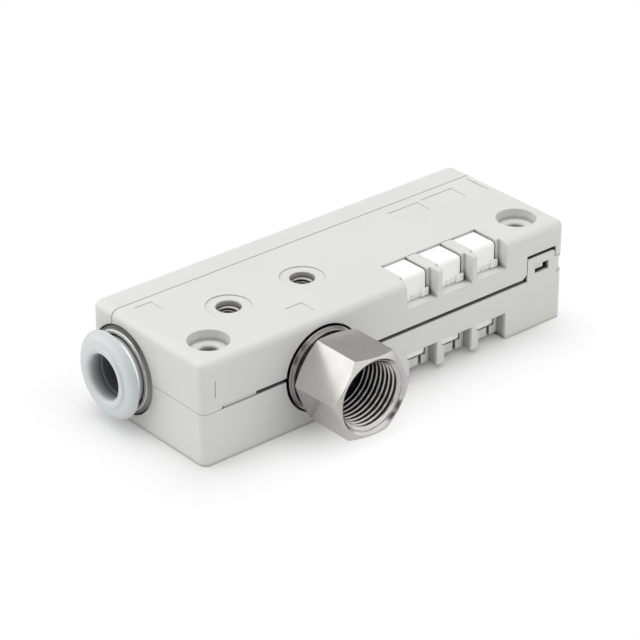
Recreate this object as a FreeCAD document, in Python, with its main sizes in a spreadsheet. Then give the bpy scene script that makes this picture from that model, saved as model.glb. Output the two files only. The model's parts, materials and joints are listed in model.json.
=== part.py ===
import FreeCAD, Part
import math
import os
import Sketcher
from types import SimpleNamespace

# Box-type vacuum ejector.
# Millimetres. X runs along the length, with the tube fitting at the -X end.
# The hexagonal vacuum port points to -Y, the front. +Z is up, and the origin is
# the centre of the base.

doc = FreeCAD.newDocument("VacuumEjector")
V = FreeCAD.Vector

# Driving sizes
SIZES = [
    # housing
    ("body_length", 106.0),
    ("body_width", 39.0),
    ("body_height", 25.0),
    ("corner_radius", 1.9),
    ("top_ease", 0.1),
    ("parting_height", 12.7),
    ("seam_from_front", 31.8),
    ("seam_chamfer", 0.15),
    ("shell_gap", 0.1),
    ("press_gap", 0.02),
    # open joint along the front
    ("joint_height", 0.95),
    ("joint_start", 4.8),
    ("joint_slope", 0.7),
    ("lip_length", 9.0),
    ("lip_height", 0.75),
    ("lip_setback", 0.35),
    # latch at the right of the front
    ("tab_thickness", 1.6),
    ("tab_from_end", 11.55),
    ("tab_width", 8.65),
    ("tab_rise", 5.7),
    ("tab_round", 0.9),
    ("end_wall_rise", 3.8),
    ("latch_side_gap", 0.2),
    ("latch_top_gap", 0.8),
    ("latch_lead", 1.2),
    ("latch_lead_rise", 0.95),
    ("catch_inset", 2.35),
    ("catch_width", 4.3),
    ("catch_rise", 1.45),
    ("catch_height", 2.1),
    ("hook_width", 2.5),
    ("hook_height", 1.0),
    ("hook_root_height", 1.4),
    ("hook_setback", 0.2),
    ("corner_mark_from_end", 2.35),
    ("corner_mark_fall", 0.45),
    ("corner_mark_height", 3.65),
    ("corner_mark_depth", 0.35),
    ("corner_mark_reach", 3.4),
    # exhaust windows at the top of the front
    ("window_pitch", 10.55),
    ("window_count", 3),
    ("window_from_end", 57.35),
    ("window_width", 9.2),
    ("window_fall", 6.6),
    ("window_depth", 2.8),
    ("rib_drop", 0.15),
    ("rib_round", 0.7),
    ("silencer_width", 6.8),
    ("silencer_depth", 7.0),
    ("silencer_side_gap", 0.3),
    ("silencer_drop", 0.5),
    ("silencer_foot", 3.1),
    ("silencer_round", 0.9),
    ("silencer_ease", 0.25),
    ("clip_inset", 1.1),
    ("clip_width", 2.1),
    ("clip_height", 2.4),
    ("clip_thickness", 0.6),
    ("clip_round", 0.25),
    ("clip_peg_width", 1.2),
    ("clip_peg_depth", 1.5),
    # exhaust slots at the bottom of the front
    ("slot_from_end", 58.4),
    ("slot_width", 8.4),
    ("slot_top", 6.9),
    ("slot_step_height", 5.35),
    ("slot_step_width", 0.7),
    ("slot_groove_width", 0.9),
    ("slot_groove_depth", 0.8),
    ("slot_groove_inset", 2.4),
    ("relief_height", 0.95),
    ("relief_length", 36.1),
    ("relief_depth", 12.0),
    # exhaust chamber behind the silencers
    ("chamber_depth", 6.0),
    ("chamber_end", 4.4),
    ("chamber_floor", 4.0),
    ("chamber_fall", 4.0),
    # mounting holes
    ("mount_spacing", 90.0),
    ("mount_from_front", 8.0),
    ("mount_hole", 4.4),
    ("mount_mouth", 0.4),
    ("counterbore", 9.4),
    ("counterbore_depth", 2.4),
    # accessory threads
    ("accessory_from_end", 20.9),
    ("accessory_spacing", 20.8),
    ("accessory_from_front", 17.35),
    ("spot_face", 10.3),
    ("spot_depth", 0.25),
    ("entry_hole", 5.8),
    ("entry_depth", 1.2),
    ("insert_diameter", 7.0),
    ("insert_length", 4.5),
    ("insert_bore", 5.0),
    ("insert_groove_depth", 0.3),
    ("insert_groove_width", 1.1),
    # shallow marks on the top and the front
    ("mark_depth", 0.12),
    ("square_side", 4.6),
    ("supply_mark_from_end", 4.5),
    ("supply_mark_from_front", 25.1),
    ("vacuum_mark_from_end", 29.3),
    ("vacuum_mark_from_front", 3.7),
    ("panel_from_end", 77.0),
    ("panel_from_front", 24.0),
    ("panel_length", 8.9),
    ("panel_width", 4.7),
    ("panel_space", 1.4),
    ("long_panel_length", 9.7),
    ("long_panel_width", 5.1),
    ("line_from_end", 103.25),
    ("line_from_front", 23.2),
    ("line_length", 7.2),
    ("line_width", 0.2),
    ("front_line_from_end", 3.25),
    ("front_line_rise", 3.4),
    ("front_line_height", 4.0),
    # supply port
    ("supply_from_front", 28.2),
    ("supply_height", 12.0),
    ("supply_recess", 21.0),
    ("supply_recess_depth", 3.0),
    ("guide_reach", 0.9),
    ("guide_diameter", 19.0),
    ("guide_bore", 16.8),
    ("guide_round", 0.5),
    ("guide_lip_bore", 14.4),
    ("guide_lip_start", 2.2),
    ("guide_lip_width", 0.8),
    ("guide_slide_bore", 15.2),
    ("guide_sleeve", 16.8),
    ("guide_length", 7.4),
    ("button_travel", 1.2),
    ("button_stop_gap", 0.2),
    ("button_reach", 5.4),
    ("button_flange", 20.5),
    ("button_thickness", 2.0),
    ("button_bead", 15.0),
    ("button_bead_height", 0.3),
    ("button_collar", 14.6),
    ("button_collar_end", 0.6),
    ("button_neck", 13.0),
    ("button_shoulder", 15.0),
    ("button_nose", 12.4),
    ("button_nose_length", 2.8),
    ("button_bore", 10.6),
    ("button_lip_round", 1.2),
    ("button_back_round", 0.5),
    ("button_mouth_round", 0.7),
    ("bead_round", 0.2),
    ("collet_base", 1.2),
    ("collet_base_width", 1.0),
    ("collet_wall", 0.45),
    ("collet_tip", 10.7),
    ("collet_length", 4.8),
    ("collet_slot", 1.0),
    ("collet_slots", 8),
    ("seal_length", 3.0),
    ("seal_bore", 10.0),
    ("seal_lip", 0.9),
    ("seal_lip_reach", 0.45),
    ("seal_lip_thickness", 0.63),
    # ejector barrel
    ("socket_wall", 1.2),
    ("socket_end", 19.0),
    ("socket_depth", 16.0),
    ("tube_seat", 10.4),
    ("tube_seat_end", 21.0),
    ("barrel_diameter", 14.4),
    ("barrel_end", 89.0),
    ("nozzle_diameter", 8.2),
    ("nozzle_flange", 1.0),
    ("nozzle_land", 5.5),
    ("nozzle_tip_length", 4.5),
    ("nozzle_tip", 3.4),
    ("nozzle_inlet", 6.0),
    ("nozzle_throat", 1.3),
    ("nozzle_exit", 1.8),
    ("suction_chamber", 10.0),
    ("diffuser_start", 37.0),
    ("diffuser_length", 49.0),
    ("diffuser_diameter", 11.0),
    ("diffuser_mouth", 6.4),
    ("diffuser_throat", 2.2),
    ("diffuser_exit", 6.8),
    ("diffuser_mouth_length", 6.0),
    ("diffuser_throat_length", 7.0),
    ("ring_section", 1.9),
    ("ring_squeeze", 0.2),
    ("ring_groove_width", 2.3),
    ("ring_groove_inset", 3.0),
    # vacuum port
    ("vacuum_from_end", 33.2),
    ("vacuum_height", 12.5),
    ("vacuum_recess", 21.0),
    ("vacuum_recess_depth", 2.4),
    ("hex_flats", 18.9),
    ("hex_turn", -5.0),
    ("hex_front", 16.7),
    ("hex_back", 2.4),
    ("hex_face", 18.1),
    ("hex_chamfer", 1.0),
    ("adapter_groove", 17.0),
    ("adapter_step", 18.8),
    ("adapter_step_front", 1.3),
    ("adapter_disc", 20.0),
    ("adapter_disc_front", 0.4),
    ("adapter_neck", 15.2),
    ("adapter_web", 1.6),
    ("adapter_collar", 18.8),
    ("adapter_collar_width", 1.8),
    ("adapter_spigot", 11.2),
    ("adapter_spigot_end", 14.0),
    ("thread_mouth", 17.8),
    ("thread_major", 16.66),
    ("thread_depth", 12.5),
    ("mouth_angle_depth", 0.6),
    ("adapter_bore", 7.2),
    ("boss_diameter", 14.0),
    ("boss_front", 6.1),
]

sheet = doc.addObject("Spreadsheet::Sheet", "Sizes")
for row, (alias, number) in enumerate(SIZES, start=1):
    sheet.set("A%d" % row, alias)
    sheet.set("B%d" % row, "%g" % number)
    sheet.setAlias("B%d" % row, alias)
doc.recompute()


class Formula:
    """A size written as an expression for the document, with its present value."""

    def __init__(self, text, number):
        self.text = text
        self.number = number

    @staticmethod
    def of(value):
        return value if isinstance(value, Formula) else Formula("%.10g" % value, float(value))

    def join(self, sign, other, number):
        return Formula("(%s %s %s)" % (self.text, sign, other.text), number)

    def __add__(self, other):
        other = Formula.of(other)
        return self.join("+", other, self.number + other.number)

    def __sub__(self, other):
        other = Formula.of(other)
        return self.join("-", other, self.number - other.number)

    def __mul__(self, other):
        other = Formula.of(other)
        return self.join("*", other, self.number * other.number)

    def __truediv__(self, other):
        other = Formula.of(other)
        return self.join("/", other, self.number / other.number)

    def __neg__(self):
        return Formula.of(0) - self

    def __radd__(self, other):
        return Formula.of(other) + self

    def __rsub__(self, other):
        return Formula.of(other) - self


def cosine(degrees):
    angle = Formula.of(degrees)
    return Formula("cos(%s * 1 deg)" % angle.text, math.cos(math.radians(angle.number)))


def sine(degrees):
    angle = Formula.of(degrees)
    return Formula("sin(%s * 1 deg)" % angle.text, math.sin(math.radians(angle.number)))


size = SimpleNamespace(**{alias: Formula("Sizes." + alias, number) for alias, number in SIZES})

# Planes and axes that several pieces share
left = -size.body_length / 2
right = size.body_length / 2
front = -size.body_width / 2
rear = size.body_width / 2
top = Formula.of(0) + size.body_height
parting = Formula.of(0) + size.parting_height
seam = front + size.seam_from_front
supply_y = front + size.supply_from_front
supply_z = Formula.of(0) + size.supply_height
vacuum_x = left + size.vacuum_from_end
vacuum_z = Formula.of(0) + size.vacuum_height
latch_depth = size.tab_thickness + size.shell_gap
tab_top = parting + size.tab_rise
end_wall_top = parting + size.end_wall_rise
catch_bottom = parting + size.catch_rise
tab_left = right - size.tab_from_end
tab_right = tab_left + size.tab_width
top_radius = size.corner_radius - size.top_ease
silencer_back = front + size.window_depth + size.silencer_depth
window_left = left + size.window_from_end
window_floor = top - size.window_fall
chamber_roof = top - size.chamber_fall
pocket_left = (window_left + size.window_width / 2 - size.silencer_width / 2
               - size.silencer_side_gap)
pocket_width = size.silencer_width + size.silencer_side_gap * 2
pattern_length = size.window_pitch * (size.window_count - 1)
row_right = pocket_left + pocket_width + pattern_length
insert_top = top - size.spot_depth - size.entry_depth
socket_bore = size.guide_sleeve + size.press_gap * 2
socket_diameter = socket_bore + size.socket_wall * 2
nozzle_land_end = size.tube_seat_end + size.nozzle_land
BEYOND = 5.0
WHOLE_TURN = 360.0
QUARTER_TURN = 90.0
SIXTH_TURN = 60.0
TOLERANCE = 1e-4
NOTHING = 1e-9


def bind(thing, name, value):
    """Set a property of a thing from a formula."""
    thing.setExpression(name, Formula.of(value).text)


def new_body(name, place=(0, 0, 0)):
    body = doc.addObject("PartDesign::Body", "Body_" + name)
    body.Label = name
    for axis, value in zip("xyz", place):
        bind(body, "Placement.Base." + axis, value)
    return body


def origin_part(body, role):
    return next(part for part in body.Origin.OriginFeatures if part.Role == role)


def place_on_plane(plane, spot):
    """Turn a place in the body into an offset in the plane's own directions."""
    x, y, z = [Formula.of(value) for value in spot]
    return {"XY": (x, y, z), "XZ": (x, z, -y), "YZ": (y, z, x)}[plane]


def new_sketch(body, name, plane, spot):
    sketch = body.newObject("Sketcher::SketchObject", body.Label + "_" + name)
    sketch.AttachmentSupport = [(origin_part(body, plane + "_Plane"), "")]
    sketch.MapMode = "FlatFace"
    for axis, value in zip("xyz", place_on_plane(plane, spot)):
        bind(sketch, "AttachmentOffset.Base." + axis, value)
    return sketch


def fix_point(sketch, curve, point, where):
    """Tie a point to the sketch's origin by two distances."""
    for kind, axis, value in (("DistanceX", -2, where[0]), ("DistanceY", -1, where[1])):
        if abs(value.number) < NOTHING:
            sketch.addConstraint(Sketcher.Constraint("PointOnObject", curve, point, axis))
        else:
            index = sketch.addConstraint(Sketcher.Constraint(kind, -1, 1, curve, point, value.number))
            bind(sketch, "Constraints[%d]" % index, value)


def polygons(body, name, plane, outlines, spot=(0, 0, 0)):
    """Closed outlines through corners, each one fixed by the sizes."""
    sketch = new_sketch(body, name, plane, spot)
    first = 0
    for corners in outlines:
        corners = [(Formula.of(a), Formula.of(b)) for a, b in corners]
        points = [V(a.number, b.number, 0) for a, b in corners]
        following = points[1:] + points[:1]
        for start, end in zip(points, following):
            sketch.addGeometry(Part.LineSegment(start, end))
        for curve in range(len(points)):
            after = first + (curve + 1) % len(points)
            sketch.addConstraint(Sketcher.Constraint("Coincident", first + curve, 2, after, 1))
        for curve, corner in enumerate(corners):
            fix_point(sketch, first + curve, 1, corner)
        first += len(points)
    return sketch


def polygon(body, name, plane, corners, spot=(0, 0, 0)):
    return polygons(body, name, plane, [corners], spot)


def box_outline(low, high):
    """The four corners of a rectangle from its lowest and highest corner."""
    return [(low[0], low[1]), (high[0], low[1]), (high[0], high[1]), (low[0], high[1])]


def circles(body, name, plane, centres, diameter, spot=(0, 0, 0)):
    sketch = new_sketch(body, name, plane, spot)
    radius = Formula.of(diameter) / 2
    for curve, centre in enumerate(centres):
        centre = (Formula.of(centre[0]), Formula.of(centre[1]))
        middle = V(centre[0].number, centre[1].number, 0)
        sketch.addGeometry(Part.Circle(middle, V(0, 0, 1), radius.number))
        fix_point(sketch, curve, 3, centre)
        index = sketch.addConstraint(Sketcher.Constraint("Radius", curve, radius.number))
        bind(sketch, "Constraints[%d]" % index, radius)
    return sketch


def checked(body, feature, change):
    """Recompute and make sure that a feature really added or removed material."""
    before = body.Tip.Shape.Volume if body.Tip is not feature and body.Tip else 0.0
    body.Tip = feature
    doc.recompute()
    after = feature.Shape.Volume
    if (after - before) * change <= 0:
        raise RuntimeError("%s changes nothing in %s" % (feature.Label, body.Label))
    return feature


def extrude(body, sketch, kind, length, away):
    """Pad or pocket a sketch; away is +1 along the plane's normal and -1 against it."""
    base = body.Tip
    feature = body.newObject("PartDesign::" + kind, sketch.Label + "_" + kind)
    body.Tip = base
    feature.Profile = sketch
    bind(feature, "Length", length)
    feature.Reversed = away < 0 if kind == "Pad" else away > 0
    return checked(body, feature, 1 if kind == "Pad" else -1)


def pad(body, sketch, length, away=1):
    return extrude(body, sketch, "Pad", length, away)


def pocket(body, sketch, length, away=-1):
    return extrude(body, sketch, "Pocket", length, away)


def turn(body, sketch, kind="Revolution", axis="H_Axis", angle=WHOLE_TURN, backwards=False):
    """Turn a sketch round one of its own axes."""
    base = body.Tip
    feature = body.newObject("PartDesign::" + kind, sketch.Label + "_" + kind)
    body.Tip = base
    feature.Profile = sketch
    feature.ReferenceAxis = (sketch, [axis])
    feature.Angle = angle
    feature.Reversed = backwards
    return checked(body, feature, 1 if kind == "Revolution" else -1)


def repeat_along(body, feature, length, count, change=-1):
    base = body.Tip
    pattern = body.newObject("PartDesign::LinearPattern", feature.Label + "_row")
    body.Tip = base
    pattern.Originals = [feature]
    pattern.Direction = (origin_part(body, "X_Axis"), [""])
    bind(pattern, "Length", length)
    bind(pattern, "Occurrences", count)
    return checked(body, pattern, change)


def repeat_round(body, feature, count, role):
    base = body.Tip
    pattern = body.newObject("PartDesign::PolarPattern", feature.Label + "_ring")
    body.Tip = base
    pattern.Originals = [feature]
    pattern.Axis = (origin_part(body, role), [""])
    pattern.Angle = WHOLE_TURN
    bind(pattern, "Occurrences", count)
    return checked(body, pattern, -1)


def dress(body, kind, name, edges, reach, change=-1):
    """Round or chamfer the edges that a test on their ends and middle picks."""
    base = body.Tip
    names = []
    for number, edge in enumerate(base.Shape.Edges, start=1):
        middle = edge.valueAt((edge.FirstParameter + edge.LastParameter) / 2)
        ends = [vertex.Point for vertex in edge.Vertexes]
        if edges(edge, middle, ends):
            names.append("Edge%d" % number)
    if not names:
        raise RuntimeError("no edge for %s in %s" % (name, body.Label))
    feature = body.newObject("PartDesign::" + kind, body.Label + "_" + name)
    body.Tip = base
    feature.Base = (base, names)
    bind(feature, "Radius" if kind == "Fillet" else "Size", reach)
    return checked(body, feature, change)


def close(a, b):
    return abs(a - Formula.of(b).number) < TOLERANCE


def level(ends, axis, value):
    """True where every end of an edge lies on the plane axis = value."""
    return bool(ends) and all(close(end[axis], value) for end in ends)


def upright(ends):
    """True for an edge that runs straight up."""
    if len(ends) != 2:
        return False
    return close(ends[0].x, ends[1].x) and close(ends[0].y, ends[1].y) and not close(ends[0].z, ends[1].z)


def is_round(edge, diameter):
    return isinstance(edge.Curve, Part.Circle) and close(edge.Curve.Radius, diameter / 2)


# Cuts that the three housing pieces share
def supply_pocket(body):
    """Recess of the tube fitting and the bed of the ejector barrel."""
    recess = size.supply_recess / 2
    wide = socket_diameter / 2 + size.shell_gap
    narrow = size.barrel_diameter / 2 + size.shell_gap
    outline = [
        (left - BEYOND, 0),
        (left - BEYOND, recess),
        (left + size.supply_recess_depth, recess),
        (left + size.supply_recess_depth, wide),
        (left + size.socket_end + size.shell_gap, wide),
        (left + size.socket_end + size.shell_gap, narrow),
        (left + size.barrel_end + size.shell_gap, narrow),
        (left + size.barrel_end + size.shell_gap, 0),
    ]
    turn(body, polygon(body, "SupplyPocket", "XZ", outline, (0, supply_y, supply_z)), "Groove")


def vacuum_pocket(body):
    """Recess of the hexagonal adapter, the groove for its collar and the bed of the boss."""
    recess = size.vacuum_recess / 2
    neck = size.adapter_neck / 2 + size.shell_gap
    collar = size.adapter_collar / 2 + size.shell_gap
    boss = size.boss_diameter / 2 + size.shell_gap
    web_end = front + size.vacuum_recess_depth + size.adapter_web
    groove_end = web_end + size.adapter_collar_width + size.shell_gap * 2
    outline = [
        (front - BEYOND, 0),
        (front - BEYOND, recess),
        (front + size.vacuum_recess_depth, recess),
        (front + size.vacuum_recess_depth, neck),
        (web_end, neck),
        (web_end, collar),
        (groove_end, collar),
        (groove_end, boss),
        (supply_y, boss),
        (supply_y, 0),
    ]
    turn(body, polygon(body, "VacuumPocket", "YZ", outline, (vacuum_x, 0, vacuum_z)), "Groove")


def exhaust_chamber(body, low, high):
    """Passage from the diffuser's end to the backs of the silencers."""
    end = left + size.barrel_end + size.shell_gap
    outline = [
        (pocket_left, silencer_back),
        (end + size.chamber_end, silencer_back),
        (end + size.chamber_end, supply_y + size.barrel_diameter / 2),
        (end, supply_y + size.barrel_diameter / 2),
        (end, silencer_back + size.chamber_depth),
        (pocket_left, silencer_back + size.chamber_depth),
    ]
    pocket(body, polygon(body, "ExhaustChamber", "XY", outline, (0, 0, low)), high - low, away=1)


def silencer_pockets(body, low, height):
    """Three upright pockets that hold the silencers."""
    outline = box_outline((pocket_left, front + size.window_depth),
                          (pocket_left + pocket_width, silencer_back + size.shell_gap))
    cut = pocket(body, polygon(body, "SilencerPocket", "XY", outline, (0, 0, low)), height, away=1)
    repeat_along(body, cut, pattern_length, size.window_count)


def mount_centres():
    return [(side * size.mount_spacing / 2, front + size.mount_from_front)
            for side in (Formula.of(-1), Formula.of(1))]


def accessory_centres():
    first = left + size.accessory_from_end
    y = front + size.accessory_from_front
    return [(first, y), (first + size.accessory_spacing, y)]


def joint_cut(body):
    """Open joint, latch recess and raised end of the lower cover, cut from the upper piece."""
    joint_top = parting + size.joint_height
    recess_left = tab_left - size.latch_side_gap
    recess_right = tab_right + size.latch_side_gap
    end_top = end_wall_top + size.shell_gap
    outline = [
        (left + size.joint_start, parting - BEYOND),
        (left + size.joint_start, parting),
        (left + size.joint_start + size.joint_slope, joint_top),
        (recess_left - size.latch_lead, joint_top),
        (recess_left, joint_top + size.latch_lead_rise),
        (recess_left, tab_top + size.latch_top_gap),
        (recess_right, tab_top + size.latch_top_gap),
        (recess_right, end_top),
        (right + BEYOND, end_top),
        (right + BEYOND, parting - BEYOND),
    ]
    sketch = polygon(body, "FrontJoint", "XZ", outline, (0, front - BEYOND, 0))
    pocket(body, sketch, BEYOND + latch_depth)


def end_step(body):
    """Step for the raised end wall of the lower cover."""
    outline = box_outline((right - latch_depth, parting - BEYOND),
                          (right + BEYOND, end_wall_top + size.shell_gap))
    sketch = polygon(body, "EndStep", "XZ", outline, (0, front - BEYOND, 0))
    pocket(body, sketch, size.body_width + BEYOND * 2)


def clip_left():
    return window_left + size.window_width - size.clip_inset - size.clip_width


def clip_slots(body):
    """Slots in the window ledges that hold the pegs of the silencer clips."""
    gap = size.shell_gap / 2
    low = clip_left() + (size.clip_width - size.clip_peg_width) / 2 - gap
    outline = box_outline((low, front + size.window_depth - size.clip_thickness - gap),
                          (low + size.clip_peg_width + gap * 2, front + size.window_depth))
    sketch = polygon(body, "ClipSlot", "XY", outline, (0, 0, window_floor))
    cut = pocket(body, sketch, size.clip_peg_depth + gap)
    repeat_along(body, cut, pattern_length, size.window_count)


def rectangle_at(from_end, from_front, length, width):
    low = (left + from_end, front + from_front)
    return box_outline(low, (low[0] + length, low[1] + width))


def top_marks():
    """Shallow marks on the top: two squares, two panels and a line."""
    second = size.panel_from_end + size.panel_length + size.panel_space
    return [
        rectangle_at(size.supply_mark_from_end, size.supply_mark_from_front, size.square_side,
                     size.square_side),
        rectangle_at(size.vacuum_mark_from_end, size.vacuum_mark_from_front, size.square_side,
                     size.square_side),
        rectangle_at(size.panel_from_end, size.panel_from_front, size.panel_length, size.panel_width),
        rectangle_at(second, size.panel_from_front, size.long_panel_length, size.long_panel_width),
        rectangle_at(size.line_from_end, size.line_from_front, size.line_width, size.line_length),
    ]


# Upper body: the moulded top of the housing, in front of the seam
def make_upper_body():
    body = new_body("upper_body")
    block = polygon(body, "Block", "XY", box_outline((left, front), (right, seam)), (0, 0, parting))
    pad(body, block, top - parting)
    dress(body, "Fillet", "Corners",
          lambda edge, middle, ends: upright(ends) and level(ends, 1, front), size.corner_radius)
    dress(body, "Fillet", "TopEdges",
          lambda edge, middle, ends: level(ends, 2, top) and not level(ends, 1, seam),
          top_radius)
    dress(body, "Chamfer", "SeamEdge",
          lambda edge, middle, ends: level(ends, 1, seam) and not close(middle.z, parting),
          size.seam_chamfer)
    joint_cut(body)
    end_step(body)

    # hook of the latch
    hook_left = tab_left + size.catch_inset + size.shell_gap
    hook_top = catch_bottom + size.catch_height - size.shell_gap
    hook = [
        (front + size.hook_setback, hook_top),
        (front + latch_depth + size.shell_gap, hook_top),
        (front + latch_depth + size.shell_gap, hook_top - size.hook_root_height),
        (front + size.hook_setback, hook_top - size.hook_height),
    ]
    pad(body, polygon(body, "Hook", "YZ", hook, (hook_left, 0, 0)), size.hook_width)

    # fuller noses for the ribs, the windows, the silencers' pockets and the lowered ribs
    rib_top = top - size.rib_drop
    noses = box_outline((window_left, front),
                        (window_left + pattern_length + size.window_width, front + size.window_depth))
    pad(body, polygon(body, "RibNoses", "XY", noses, (0, 0, window_floor)), rib_top - window_floor)
    dress(body, "Fillet", "RibFronts",
          lambda edge, middle, ends: level(ends, 1, front) and level(ends, 2, rib_top), size.rib_round)
    opening = box_outline((window_left, window_floor),
                          (window_left + size.window_width, top + BEYOND))
    sketch = polygon(body, "Window", "XZ", opening, (0, front - BEYOND, 0))
    window = pocket(body, sketch, BEYOND + size.window_depth)
    repeat_along(body, window, pattern_length, size.window_count)
    silencer_pockets(body, parting - BEYOND, top - parting + BEYOND * 2)
    lowered = box_outline((pocket_left, front - BEYOND),
                          (row_right, silencer_back + size.shell_gap))
    pocket(body, polygon(body, "LoweredRibs", "XY", lowered, (0, 0, top)), size.rib_drop)

    # mounting holes and accessory threads
    reach = size.body_height + BEYOND
    pocket(body, circles(body, "Counterbores", "XY", mount_centres(), size.counterbore, (0, 0, top)),
           size.counterbore_depth)
    pocket(body, circles(body, "MountHoles", "XY", mount_centres(), size.mount_hole, (0, 0, top)), reach)
    holes = accessory_centres()
    mouth_height = top - size.counterbore_depth
    dress(body, "Chamfer", "MountMouths",
          lambda edge, middle, ends: close(middle.z, mouth_height)
          and is_round(edge, size.mount_hole), size.mount_mouth)
    pocket(body, circles(body, "SpotFaces", "XY", holes, size.spot_face, (0, 0, top)), size.spot_depth)
    pocket(body, circles(body, "EntryHoles", "XY", holes, size.entry_hole, (0, 0, top)),
           size.spot_depth + size.entry_depth)
    pocket(body, circles(body, "InsertSeats", "XY", holes, size.insert_diameter + size.press_gap * 2,
                         (0, 0, insert_top)), size.insert_length)

    supply_pocket(body)
    vacuum_pocket(body)
    exhaust_chamber(body, parting - BEYOND, chamber_roof)
    clip_slots(body)
    pocket(body, polygons(body, "TopMarks", "XY", top_marks(), (0, 0, top)), size.mark_depth)
    line_left = left + size.front_line_from_end
    line_bottom = parting + size.front_line_rise
    line = box_outline((line_left, line_bottom),
                       (line_left + size.line_width, line_bottom + size.front_line_height))
    pocket(body, polygon(body, "FrontLine", "XZ", line, (0, front, 0)), size.mark_depth)
    return body


# Rear cover: the strip behind the seam
def make_rear_cover():
    body = new_body("rear_cover")
    block = polygon(body, "Block", "XY", box_outline((left, seam), (right, rear)), (0, 0, parting))
    pad(body, block, top - parting)
    dress(body, "Fillet", "Corners",
          lambda edge, middle, ends: upright(ends) and level(ends, 1, rear), size.corner_radius)
    dress(body, "Fillet", "TopEdges",
          lambda edge, middle, ends: level(ends, 2, top) and not level(ends, 1, seam),
          top_radius)
    dress(body, "Chamfer", "SeamEdge",
          lambda edge, middle, ends: level(ends, 1, seam) and not close(middle.z, parting),
          size.seam_chamfer)
    end_step(body)
    supply_pocket(body)
    exhaust_chamber(body, parting - BEYOND, chamber_roof)
    return body


# Lower cover: the moulded bottom, with the latch tab and the exhaust slots
def make_lower_cover():
    body = new_body("lower_cover")
    block = polygon(body, "Block", "XY", box_outline((left, front), (right, rear)))
    pad(body, block, tab_top)
    dress(body, "Fillet", "Corners", lambda edge, middle, ends: upright(ends), size.corner_radius)
    outline = [
        (left - BEYOND, parting),
        (tab_left, parting),
        (tab_left, tab_top),
        (tab_right, tab_top),
        (tab_right, end_wall_top),
        (right + BEYOND, end_wall_top),
        (right + BEYOND, top + BEYOND),
        (left - BEYOND, top + BEYOND),
    ]
    sketch = polygon(body, "TabOutline", "XZ", outline, (0, front - BEYOND, 0))
    pocket(body, sketch, size.body_width + BEYOND * 2)
    inside = box_outline((left - BEYOND, front + size.tab_thickness),
                         (right - size.tab_thickness, rear + BEYOND))
    pocket(body, polygon(body, "AboveParting", "XY", inside, (0, 0, parting)), top, away=1)
    dress(body, "Fillet", "TabCorner",
          lambda edge, middle, ends: level(ends, 0, tab_right) and level(ends, 2, tab_top),
          size.tab_round)

    # catch window in the tab, and the lip in the open joint
    low = (tab_left + size.catch_inset, catch_bottom)
    high = (low[0] + size.catch_width, catch_bottom + size.catch_height)
    sketch = polygon(body, "CatchWindow", "XZ", box_outline(low, high), (0, front - BEYOND, 0))
    pocket(body, sketch, BEYOND + latch_depth)
    lip_left = left + size.joint_start + size.joint_slope + size.shell_gap * 2
    lip = box_outline((lip_left, front + size.lip_setback),
                      (lip_left + size.lip_length, front + size.tab_thickness))
    pad(body, polygon(body, "JointLip", "XY", lip, (0, 0, parting)), size.lip_height)

    # slots in the front, open to the relief under them
    slot_left = left + size.slot_from_end
    slot_right = slot_left + size.slot_width
    slot = [
        (slot_left, -BEYOND),
        (slot_right, -BEYOND),
        (slot_right, size.slot_top),
        (slot_left - size.slot_step_width, size.slot_top),
        (slot_left - size.slot_step_width, size.slot_step_height),
        (slot_left, size.slot_step_height),
    ]
    sketch = polygon(body, "Slot", "XZ", slot, (0, front - BEYOND, 0))
    cut = pocket(body, sketch, BEYOND + size.window_depth)
    repeat_along(body, cut, pattern_length, size.window_count)
    groove_right = slot_right - size.slot_groove_inset
    groove = box_outline((groove_right - size.slot_groove_width, -BEYOND),
                         (groove_right, size.silencer_foot))
    sketch = polygon(body, "SlotGroove", "XZ", groove, (0, front, 0))
    cut = pocket(body, sketch, size.window_depth + size.slot_groove_depth)
    repeat_along(body, cut, pattern_length, size.window_count)
    relief_right = slot_right + pattern_length + size.shell_gap
    relief = box_outline((relief_right - size.relief_length, front - BEYOND),
                         (relief_right, front + size.relief_depth))
    pocket(body, polygon(body, "Relief", "XY", relief), size.relief_height, away=1)

    # recess round the front right corner
    middle_x = right - size.corner_radius
    middle_y = front + size.corner_radius
    mark_bottom = parting - size.corner_mark_fall
    front_part = box_outline((right - size.corner_mark_from_end, front - BEYOND),
                             (middle_x, front + size.corner_mark_depth))
    end_part = box_outline((right - size.corner_mark_depth, middle_y),
                           (right + BEYOND, front + size.corner_mark_reach))
    sketch = polygons(body, "CornerMark", "XY", [front_part, end_part], (0, 0, mark_bottom))
    pocket(body, sketch, size.corner_mark_height, away=1)
    quarter = box_outline((size.corner_radius - size.corner_mark_depth, mark_bottom),
                          (size.corner_radius + size.shell_gap, mark_bottom + size.corner_mark_height))
    sketch = polygon(body, "CornerRound", "XZ", quarter, (middle_x, middle_y, 0))
    turn(body, sketch, "Groove", axis="V_Axis", angle=QUARTER_TURN, backwards=True)

    silencer_pockets(body, size.silencer_foot, top)
    pocket(body, circles(body, "MountHoles", "XY", mount_centres(), size.mount_hole), top, away=1)
    supply_pocket(body)
    vacuum_pocket(body)
    exhaust_chamber(body, size.chamber_floor, parting + BEYOND)
    return body


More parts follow.
